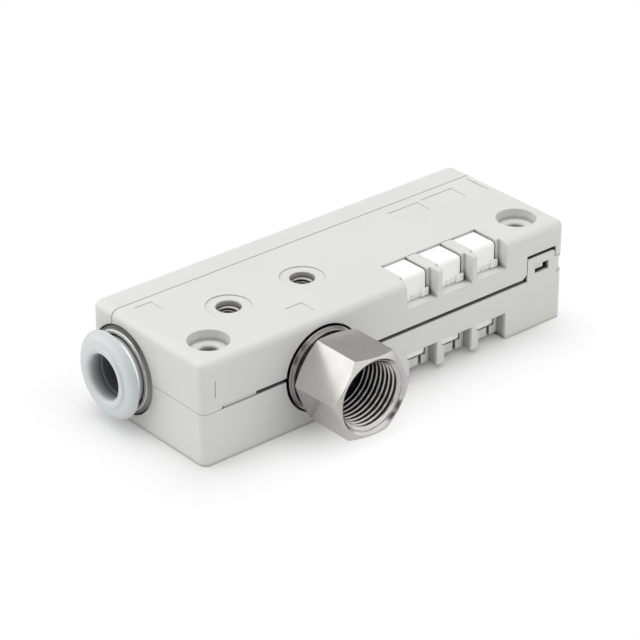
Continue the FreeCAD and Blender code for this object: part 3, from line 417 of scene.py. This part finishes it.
def housing_shade(tree):
    """Shade in the holes, the latch and the slots, and the fine lines between the mouldings."""
    mount_holes = hole_pair_shade(tree, MOUNT_MIDDLE, MOUNT_HALF, MOUNT_SHADE_RADIUS,
                                  MOUNT_SHADE_FLOOR, MOUNT_SHADE_DEPTHS, MOUNT_SHADE)
    entries = hole_pair_shade(tree, ENTRY_MIDDLE, ENTRY_HALF, ENTRY_SHADE_RADIUS,
                              ENTRY_SHADE_FLOOR, ENTRY_SHADE_DEPTHS, ENTRY_SHADE)
    return tree.product(mount_holes, entries, moulding_lines(tree), latch_shade(tree),
                        slot_shade(tree))


def button_shade(tree):
    """Painted shade in the release button's bore, a painted highlight ring in it, and painted light
    and shade on the rim.
    """
    place = tree.split(SUPPLY_AXIS)
    radius = tree.length(place["Y"], place["Z"])
    inside = tree.math("LESS_THAN", radius, BORE_SHADE_RADIUS)
    bore = tree.hollow(inside, place["X"], BORE_SHADE_ENDS, BORE_SHADE)
    # Painted highlight: a pale ring deep in the bore
    distance = tree.math("ABSOLUTE", tree.math("SUBTRACT", place["X"], BORE_HIGHLIGHT_X))
    ring = tree.span(distance, BORE_HIGHLIGHT_GAIN, 1.0, *BORE_HIGHLIGHT_LINE)
    # Painted light on the face of the rim and painted shade on its outside
    outside = tree.math("GREATER_THAN", radius, RIM_RADIUS)
    loss = tree.product(outside, tree.remaining(tree.span(place["X"], *RIM_LIGHT_AND_SHADE, *RIM_ENDS)))
    return tree.product(bore, ring, tree.remaining(loss))


def port_shade(tree):
    """Painted shade in the vacuum port's thread; painted highlight stripes and shade on the collar
    behind the hexagon.
    """
    place = tree.split(VACUUM_AXIS)
    inside = tree.math("LESS_THAN", tree.length(place["X"], place["Z"]), PORT_SHADE_RADIUS)
    bore = tree.hollow(inside, place["Y"], PORT_SHADE_ENDS, PORT_SHADE)
    # Painted highlight stripes over painted shade on the collar
    distance = tree.math("PINGPONG", tree.math("SUBTRACT", place["Y"], STRIPE_Y), STRIPE_PITCH)
    painted_stripes = tree.span(distance, *STRIPE_LIGHT_AND_SHADE, *STRIPE_LINE)
    behind = tree.math("GREATER_THAN", place["Y"], COLLAR_START)
    return tree.product(bore, tree.remaining(tree.product(behind, tree.remaining(painted_stripes))))


def guide_shade(tree):
    """Painted shade on the bevel round the guide ring, more towards the top, and in its mouth behind
    the button's rim.
    """
    place = tree.split(SUPPLY_AXIS)
    radius = tree.length(place["Y"], place["Z"])
    # Painted shade on the bevel, more of it towards the top
    loss = tree.span(place["Z"], *BEVEL_LOSSES, 0.0, BEVEL_RISE)
    bevel = tree.span(radius, 0.0, 1.0, *BEVEL_RADII)
    mouth = tree.span(radius, MOUTH_SHADE, 1.0, *MOUTH_RADII)
    return tree.product(tree.remaining(tree.product(loss, bevel)), mouth)


# Materials
def moulded_plastic(name, light, dark, roughness, edge, gap=1.6 * MM, shading=None):
    """Moulded plastic: faint flow clouds in the colour and a fine spark-eroded texture."""
    tree = Tree(bpy.data.materials.new(name))
    clouds = tree.noise(FLOW_CLOUDS, detail=3.0)
    texture = tree.noise(SPARK_GRAIN, detail=3.0, rough=0.6)
    normal = tree.bump(texture, SPARK_HEIGHT, tree.soft_edges(edge))
    patches = tree.noise(GLOSS_PATCHES)
    colour = tree.tint(tree.span(clouds, 0.0, 1.0, *FLOW_RANGE), dark, light)
    if shading:
        colour = tree.shade(shading(tree), colour)
    # Painted highlight along the edges
    colour = tree.shade(tree.painted_edge_highlight(edge * EDGE_HIGHLIGHT_REACH, EDGE_HIGHLIGHT_GAIN), colour)
    return tree.finish(
        # Painted shade in gaps and holes
        Base_Color=tree.shade(tree.painted_gap_shade(gap, PLASTIC_GAP_SHADE), colour),
        Roughness=tree.vary(patches, roughness, PLASTIC_STRAY),
        Specular_IOR_Level=0.42,
        Normal=normal,
    )


def silencer_foam(name, light, dark):
    """Sintered silencer: matte, with fine pores, and a faint painted glow from a white emission."""
    tree = Tree(bpy.data.materials.new(name))
    cells = tree.add("TexVoronoi", feature="F1")
    tree.feed(cells.inputs["Vector"], tree.place())
    tree.feed(cells.inputs["Scale"], 1.0 / PORE_SIZE)
    fine = tree.noise(PORE_GRAIN, detail=3.0)
    height = tree.math("ADD", cells.outputs["Distance"], tree.math("MULTIPLY", fine, FINE_GRAIN))
    normal = tree.bump(height, PORE_HEIGHT, tree.soft_edges(SILENCER_EDGE))
    shade = tree.span(cells.outputs["Distance"], 1.0, 0.0, *CELL_RANGE)
    return tree.finish(
        Base_Color=tree.tint(shade, dark, light),
        Roughness=tree.span(fine, *SILENCER_ROUGHNESS),
        Specular_IOR_Level=0.25,
        Subsurface_Weight=0.15,
        Subsurface_Radius=(1.0, 1.0, 1.0),
        Subsurface_Scale=0.6 * MM,
        # Painted glow: a faint white emission
        Emission_Color=WHITE,
        Emission_Strength=0.13,
        Normal=normal,
    )


def clear_plastic(name, light, dark):
    """Milky clear plastic of the clips, with a faint painted glow from a white emission."""
    tree = Tree(bpy.data.materials.new(name))
    waves = tree.noise(WAVE_SIZE)
    normal = tree.bump(waves, WAVE_HEIGHT, tree.soft_edges(CLIP_EDGE))
    return tree.finish(
        Base_Color=tree.tint(waves, dark, light),
        Roughness=tree.span(waves, *CLIP_ROUGHNESS),
        IOR=1.47,
        Transmission_Weight=0.3,
        # Painted glow: a faint white emission
        Emission_Color=WHITE,
        Emission_Strength=0.08,
        Normal=normal,
    )


def turned_metal(name, light, dark, roughness, centre, across, along, gap=2.5 * MM, gap_shade_level=0.05,
                 shading=None):
    """Turned metal: fine rings from the tool round one axis, over a faint cloudiness."""
    tree = Tree(bpy.data.materials.new(name))
    place = tree.split(centre)
    rings = tree.add("CombineXYZ")
    tree.feed(rings.inputs["X"], tree.length(place[across[0]], place[across[1]]))
    tree.feed(rings.inputs["Y"], place[along])
    lines = tree.noise(TOOL_LINES, detail=4.0, vector=rings.outputs["Vector"], rough=0.7)
    clouds = tree.noise(METAL_CLOUDS, detail=3.0)
    normal = tree.bump(lines, TOOL_LINE_HEIGHT, tree.soft_edges(METAL_EDGE))
    colour = tree.tint(tree.span(clouds, 0.0, 1.0, *NOISE_RANGE), dark, light)
    if shading:
        colour = tree.shade(shading(tree), colour)
    return tree.finish(
        # Painted shade in gaps and holes
        Base_Color=tree.shade(tree.painted_gap_shade(gap, gap_shade_level), colour),
        Metallic=1.0,
        Roughness=tree.vary(lines, roughness, METAL_STRAY),
        Normal=normal,
    )


def rubber(name, light, dark):
    """Dull black rubber with a dusting of bloom."""
    tree = Tree(bpy.data.materials.new(name))
    bloom = tree.noise(BLOOM_SIZE, detail=4.0)
    grain = tree.noise(RUBBER_GRAIN)
    return tree.finish(
        Base_Color=tree.tint(bloom, dark, light),
        Roughness=tree.span(grain, *RUBBER_ROUGHNESS),
        Normal=tree.bump(grain, RUBBER_HEIGHT),
    )


def insert_metal(number):
    """Metal of one thread insert, turned round that insert's own axis."""
    return turned_metal("insert_metal_%d" % number, light=(0.55, 0.54, 0.52), dark=(0.47, 0.46, 0.44),
                        roughness=0.28, centre=INSERT_CENTRES[number - 1], across="XY", along="Z",
                        gap=5.0 * MM)


materials = {
    "housing": moulded_plastic("housing_plastic", light=(0.79, 0.791, 0.768),
                               dark=(0.77, 0.771, 0.748), roughness=0.42, edge=0.34 * MM,
                               gap=2.0 * MM, shading=housing_shade),
    "button": moulded_plastic("button_plastic", light=(0.73, 0.765, 0.77), dark=(0.71, 0.745, 0.75),
                              roughness=0.34, edge=0.08 * MM, gap=1.2 * MM, shading=button_shade),
    "inner": moulded_plastic("barrel_plastic", light=(0.34, 0.35, 0.355), dark=(0.31, 0.32, 0.325),
                             roughness=0.45, edge=0.2 * MM),
    "silencer": silencer_foam("silencer_foam", light=(0.93, 0.93, 0.925),
                              dark=(0.88, 0.88, 0.87)),
    "clip": clear_plastic("clear_clip", light=(0.95, 0.96, 0.94), dark=(0.90, 0.92, 0.90)),
    "adapter": turned_metal("adapter_metal", light=(0.68, 0.67, 0.65), dark=(0.63, 0.62, 0.60),
                            roughness=0.17, centre=VACUUM_AXIS, across="XZ", along="Y",
                            gap=1.5 * MM, shading=port_shade),
    "guide": turned_metal("guide_ring_metal", light=(0.66, 0.65, 0.635), dark=(0.59, 0.58, 0.565),
                          roughness=0.24, centre=SUPPLY_AXIS, across="YZ", along="X",
                          gap=0.8 * MM, gap_shade_level=0.6, shading=guide_shade),
    "collet": turned_metal("collet_metal", light=(0.60, 0.60, 0.59), dark=(0.52, 0.52, 0.51),
                           roughness=0.24, centre=SUPPLY_AXIS, across="YZ", along="X"),
    "insert_1": insert_metal(1),
    "insert_2": insert_metal(2),
    "nozzle": turned_metal("nozzle_brass", light=(0.66, 0.52, 0.30), dark=(0.58, 0.45, 0.25),
                           roughness=0.25, centre=SUPPLY_AXIS, across="YZ", along="X"),
    "diffuser": turned_metal("diffuser_metal", light=(0.74, 0.74, 0.75), dark=(0.68, 0.68, 0.69),
                             roughness=0.3, centre=SUPPLY_AXIS, across="YZ", along="X"),
    "rubber": rubber("seal_rubber", light=(0.05, 0.05, 0.052), dark=(0.025, 0.025, 0.027)),
}

NODE_MATERIALS = {
    "upper_body": "housing",
    "rear_cover": "housing",
    "lower_cover": "housing",
    "ejector_barrel": "inner",
    "nozzle": "nozzle",
    "nozzle_o_ring": "rubber",
    "diffuser": "diffuser",
    "diffuser_o_ring_inlet": "rubber",
    "diffuser_o_ring_outlet": "rubber",
    "tube_guide_ring": "guide",
    "tube_release_button": "button",
    "tube_collet": "collet",
    "tube_seal": "rubber",
    "vacuum_adapter": "adapter",
    "adapter_o_ring": "rubber",
    "silencer_1": "silencer",
    "silencer_2": "silencer",
    "silencer_3": "silencer",
    "silencer_clip_1": "clip",
    "silencer_clip_2": "clip",
    "silencer_clip_3": "clip",
    "thread_insert_1": "insert_1",
    "thread_insert_2": "insert_2",
}
for name, node in nodes.items():
    node.data.materials.clear()
    node.data.materials.append(materials[NODE_MATERIALS[name]])


def add_piece(name, mesh, material, body):
    """A smooth-shaded piece from a mesh under construction."""
    bmesh.ops.recalc_face_normals(mesh, faces=mesh.faces)
    data = bpy.data.meshes.new(name)
    mesh.to_mesh(data)
    mesh.free()
    for face in data.polygons:
        face.use_smooth = True
    data.materials.append(materials[material])
    piece = bpy.data.objects.new(name, data)
    bpy.context.scene.collection.objects.link(piece)
    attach(piece, body)
    return piece


# Threads
def thread_depth(phase):
    """Height of a rounded thread over one pitch, 0 at the root and 1 at the crest."""
    return 0.5 - 0.5 * math.cos(math.tau * phase)


def make_thread(name, origin, axis, sizes, steps, material):
    """A closed sleeve with an internal helical thread, from its mouth at origin inwards along axis."""
    major, minor, pitch, length, mouth = sizes
    around, along_pitch = steps
    rows = int(length / pitch * along_pitch)
    across = Vector((1.0, 0.0, 0.0))
    up = axis.cross(across)
    mesh = bmesh.new()
    inner = []
    outer = []
    for row in range(rows + 1):
        depth = length * row / rows
        inner_row = []
        outer_row = []
        for step in range(around):
            angle = math.tau * step / around
            spoke = across * math.cos(angle) + up * math.sin(angle)
            phase = depth / pitch - step / around
            reach = major - (major - minor) * thread_depth(phase)
            reach = min(major - THREAD_SKIN, max(reach, mouth - depth))
            centre = origin + axis * depth
            inner_row.append(mesh.verts.new(centre + spoke * reach))
            outer_row.append(mesh.verts.new(centre + spoke * major))
        inner.append(inner_row)
        outer.append(outer_row)
    for row in range(rows):
        for step in range(around):
            after = (step + 1) % around
            mesh.faces.new((inner[row][step], inner[row + 1][step], inner[row + 1][after],
                            inner[row][after]))
            mesh.faces.new((outer[row][step], outer[row][after], outer[row + 1][after],
                            outer[row + 1][step]))
    # Both ends, the far one wound the other way, so that it looks outwards too
    for row, order in ((0, 1), (rows, -1)):
        for step in range(around):
            after = (step + 1) % around
            ring = (inner[row][step], inner[row][after], outer[row][after], outer[row][step])
            mesh.faces.new(ring[::order])
    add_piece(name, mesh, material, HOUSING_BODY)


make_thread("vacuum_port_thread", Vector((VACUUM_AXIS.x, VACUUM_FACE + PIPE_START, VACUUM_AXIS.z)),
            Vector((0.0, 1.0, 0.0)),
            (PIPE_MAJOR, PIPE_MINOR, PIPE_PITCH, PIPE_LENGTH, PIPE_MOUTH), PIPE_STEPS, "adapter")
for number, centre in enumerate(INSERT_CENTRES, start=1):
    make_thread("accessory_thread_%d" % number,
                Vector((centre.x, centre.y, INSERT_TOP - SMALL_START)), Vector((0.0, 0.0, -1.0)),
                (SMALL_MAJOR, SMALL_MINOR, SMALL_PITCH, SMALL_LENGTH, SMALL_MOUTH), SMALL_STEPS,
                "insert_%d" % number)


# Turned pieces on the supply axis, each a closed profile of x and radius in mm
# The flange is a bevelled metal edge that closes the recess round the guide ring
FLANGE_PROFILE = ((-53.55, 9.52), (-53.4, 9.7), (-52.85, 10.26), (-52.6, 10.3), (-52.2, 10.3),
                  (-52.2, 9.52))
# The button has a domed rim, a low bead round its mouth and a collar that fills the guide ring
BUTTON_PROFILE = ((-44.2, 5.3), (-57.5, 5.3), (-58.1, 5.4), (-58.48, 5.68), (-58.65, 6.0),
                  (-58.7, 6.3), (-58.7, 6.9), (-58.66, 7.05), (-58.5, 7.14), (-58.26, 7.2),
                  (-58.2, 7.32), (-58.2, 8.45), (-58.02, 8.8), (-57.7, 9.32), (-57.35, 9.76),
                  (-57.05, 10.05), (-56.8, 10.2), (-56.6, 10.25), (-56.36, 10.25),
                  (-56.3, 10.2), (-56.3, 8.2), (-56.24, 8.1), (-53.35, 8.1),
                  (-53.2, 7.95), (-53.2, 6.5), (-48.6, 6.5), (-48.6, 7.5), (-47.0, 7.5),
                  (-47.0, 6.2), (-44.2, 6.2))
TURNED_STEPS = 144
SHARP_ANGLE = math.radians(32.0)


def make_turned(name, profile, body, material):
    """A piece turned round the supply axis."""
    mesh = bmesh.new()
    rings = []
    for step in range(TURNED_STEPS):
        angle = math.tau * step / TURNED_STEPS
        spoke = Vector((0.0, math.cos(angle), math.sin(angle)))
        rings.append([mesh.verts.new(SUPPLY_AXIS + Vector((x * MM, 0.0, 0.0)) + spoke * radius * MM)
                      for x, radius in profile])
    for first, second in zip(rings, rings[1:] + rings[:1]):
        for corner in range(len(first)):
            after = (corner + 1) % len(first)
            mesh.faces.new((first[corner], first[after], second[after], second[corner]))
    piece = add_piece(name, mesh, material, body)
    piece.data.set_sharp_from_angle(angle=SHARP_ANGLE)
    return piece


make_turned("guide_ring_flange", FLANGE_PROFILE, HOUSING_BODY, "guide")
button = make_turned("release_button_rim", BUTTON_PROFILE, BUTTON_BODY, "button")
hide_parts("tube_release_button")


# Clips at the feet of the silencers: a rounded lug, and a low rippled strip on its left
# The lug's inset counts from the left side of the clip's solid, and its gap from the silencers
LUG_INSET = 0.35 * MM
LUG_GAP = 0.02 * MM
LUG_WIDTH = 2.2 * MM
LUG_HEIGHT = 1.95 * MM
LUG_THICKNESS = 0.68 * MM
LUG_ROUND = 0.28 * MM
LUG_SEGMENTS = 4
STRIP_GAP = 0.02 * MM
STRIP_LENGTH = 2.6 * MM
STRIP_HEIGHT = 1.25 * MM
STRIP_THICKNESS = 0.24 * MM
STRIP_RIPPLE = 0.1 * MM
STRIP_WAVES = 2
STRIP_STEPS = 48
STRIP_BULGE = 0.3


def add_lug(mesh, low):
    """An upright block with all its edges rounded."""
    size = Vector((LUG_WIDTH, LUG_THICKNESS, LUG_HEIGHT))
    middle = low + Vector((size.x / 2, -size.y / 2, size.z / 2))
    shape = Matrix.Translation(middle) @ Matrix.Diagonal((*size, 1.0))
    made = bmesh.ops.create_cube(mesh, size=1.0, matrix=shape)
    edges = {edge for vertex in made["verts"] for edge in vertex.link_edges}
    bmesh.ops.bevel(mesh, geom=list(edges), offset=LUG_ROUND, segments=LUG_SEGMENTS, profile=0.5,
                    affect="EDGES")


def add_strip(mesh, low):
    """A strip whose front is rippled, ending at low."""
    rows = []
    for step in range(STRIP_STEPS + 1):
        share = step / STRIP_STEPS
        x = low.x - STRIP_LENGTH * (1.0 - share)
        wave = 0.5 - 0.5 * math.cos(math.tau * STRIP_WAVES * share)
        y = low.y - STRIP_THICKNESS - STRIP_RIPPLE * wave
        corner = STRIP_THICKNESS / 2
        section = [(low.y, low.z), (y, low.z), (y, low.z + STRIP_HEIGHT - corner),
                   (y + corner * STRIP_BULGE, low.z + STRIP_HEIGHT - corner * STRIP_BULGE),
                   (y + corner, low.z + STRIP_HEIGHT), (low.y, low.z + STRIP_HEIGHT)]
        rows.append([mesh.verts.new((x, *point)) for point in section])
    for first, second in zip(rows, rows[1:]):
        for corner in range(len(first)):
            after = (corner + 1) % len(first)
            mesh.faces.new((first[corner], second[corner], second[after], first[after]))
    mesh.faces.new(rows[0])
    mesh.faces.new(rows[-1][::-1])


for number in (1, 2, 3):
    solid_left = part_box("silencer_clip_%d" % number)[0].x
    low = Vector((solid_left + LUG_INSET, SILENCER_FRONT - LUG_GAP, WINDOW_FLOOR))
    mesh = bmesh.new()
    add_lug(mesh, low)
    add_strip(mesh, low - Vector((STRIP_GAP, 0.0, 0.0)))
    clip = add_piece("clip_%d" % number, mesh, "clip", HOUSING_BODY)
    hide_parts("silencer_clip_%d" % number)


# Stage: a white floor that keeps a soft shadow, and a white surround
SHADOW_MIDDLE = Vector((-5.5, 0.0, 0.0)) * MM
SHADOW_HALF = (47.5 * MM, 19.5 * MM)
SHADOW_REACH = 17.0 * MM
SHADOW_BRIGHTNESS = 0.12
MIRRORED_FLOOR = 0.72
FLOOR_SIZE = 6.0
FLOOR_DROP = 0.05 * MM
SURROUND_LIGHT = 0.48


def floor_material():
    """White, and shaded only near the part, so that the picture ends in pure white."""
    tree = Tree(bpy.data.materials.new("floor_white"))
    tree.finish(Base_Color=(0.93, 0.93, 0.93, 1.0), Roughness=0.9, Specular_IOR_Level=0.0)
    bright = tree.add("Emission")
    tree.feed(bright.inputs["Color"], WHITE)
    place = tree.split(SHADOW_MIDDLE)
    outside = [tree.math("MAXIMUM", tree.math("SUBTRACT", tree.math("ABSOLUTE", place[axis]),
                                              half), 0.0)
               for axis, half in zip("XY", SHADOW_HALF)]
    far = tree.span(tree.length(*outside), SHADOW_BRIGHTNESS, 1.0, 0.0, SHADOW_REACH)
    rays = tree.add("LightPath")
    tree.feed(bright.inputs["Strength"], tree.span(rays.outputs["Is Glossy Ray"], 1.0, MIRRORED_FLOOR))
    mix = tree.add("MixShader")
    tree.feed(mix.inputs[0], tree.product(far, tree.seen(rays)))
    tree.feed(mix.inputs[1], tree.nodes["Principled BSDF"].outputs["BSDF"])
    tree.feed(mix.inputs[2], bright.outputs["Emission"])
    tree.show(mix.outputs["Shader"])
    return tree.owner


def plane(name, width, depth, place):
    """A flat rectangle of the stage."""
    data = bpy.data.meshes.new(name)
    half_x, half_y = width / 2, depth / 2
    data.from_pydata([(-half_x, -half_y, 0.0), (half_x, -half_y, 0.0), (half_x, half_y, 0.0),
                      (-half_x, half_y, 0.0)], [], [(0, 1, 2, 3)])
    piece = bpy.data.objects.new(name, data)
    piece.matrix_world = place
    bpy.context.scene.collection.objects.link(piece)
    return piece


floor = plane("floor", FLOOR_SIZE, FLOOR_SIZE, Matrix.Translation((0.0, 0.0, -FLOOR_DROP)))
floor.data.materials.append(floor_material())


def facing(back):
    """A turn whose Z is back, and whose Y is as near to upright as that allows."""
    right = Vector((0.0, 0.0, 1.0)).cross(back).normalized()
    return Matrix((right, back.cross(right), back)).transposed().to_4x4()


def aim(place, target):
    """A matrix at place whose -Z looks at the target."""
    return Matrix.Translation(place) @ facing((place - target).normalized())


def area_light(name, place, size, power, mirrored=True):
    """A rectangular lamp that looks at the part, of a power in watts."""
    data = bpy.data.lights.new(name, "AREA")
    data.shape = "RECTANGLE"
    data.size, data.size_y = size
    data.energy = power
    lamp = bpy.data.objects.new(name, data)
    lamp.matrix_world = aim(place, TARGET)
    lamp.visible_glossy = mirrored
    bpy.context.scene.collection.objects.link(lamp)


area_light("key_light", place=Vector((0.05, 0.12, 0.86)), size=(0.7, 0.7), power=3.5)
area_light("left_softbox", place=Vector((-0.62, 0.6, 0.36)), size=(0.95, 0.9), power=2.7,
           mirrored=False)
area_light("front_fill", place=Vector((0.42, -0.8, 0.27)), size=(1.0, 0.8), power=1.4,
           mirrored=False)


def grey_card(name, place, width, height, level):
    """A grey card that only reflections see."""
    tree = Tree(bpy.data.materials.new(name + "_grey"))
    grey = tree.add("Emission")
    tree.feed(grey.inputs["Color"], (level, level, level, 1.0))
    tree.show(grey.outputs["Emission"])
    card = plane(name, width, height, aim(place, TARGET))
    card.data.materials.append(tree.owner)
    card.visible_camera = False
    card.visible_diffuse = False
    card.visible_shadow = False


grey_card("card_behind", place=Vector((0.55, 0.6, 0.42)), width=0.5, height=0.5, level=0.44)
grey_card("card_on_the_left", place=Vector((-0.6, 0.64, 0.36)), width=1.15, height=1.15, level=1.42)
grey_card("card_left_of_camera", place=Vector((-0.6, -0.7, 0.26)), width=0.36, height=0.34,
          level=0.02)
grey_card("card_over_camera", place=Vector((-0.32, -0.7, 0.57)), width=0.34, height=0.3, level=0.02)


def light_surround():
    """White where it is seen or mirrored, and a plain soft light on the surfaces."""
    world = bpy.data.worlds.new("studio")
    bpy.context.scene.world = world
    tree = Tree(world)
    background = tree.nodes["Background"]
    tree.feed(background.inputs["Color"], WHITE)
    seen = tree.seen(tree.add("LightPath"))
    tree.feed(background.inputs["Strength"], tree.span(seen, SURROUND_LIGHT, 1.0))


light_surround()

# Camera
scene = bpy.context.scene
scene.view_settings.view_transform = "Standard"
back = Vector((math.sin(AZIMUTH) * math.cos(ELEVATION), -math.cos(AZIMUTH) * math.cos(ELEVATION),
               math.sin(ELEVATION)))
camera_data = bpy.data.cameras.new("camera")
camera_data.lens = LENS
camera_data.sensor_width = SENSOR
camera_data.clip_start = NEAREST
camera_data.clip_end = FARTHEST
camera = bpy.data.objects.new("camera", camera_data)
aside = Matrix.Translation((SIDEWAYS, UPWARDS, 0.0))
camera.matrix_world = Matrix.Translation(TARGET + back * DISTANCE) @ facing(back) @ aside
scene.collection.objects.link(camera)
scene.camera = camera
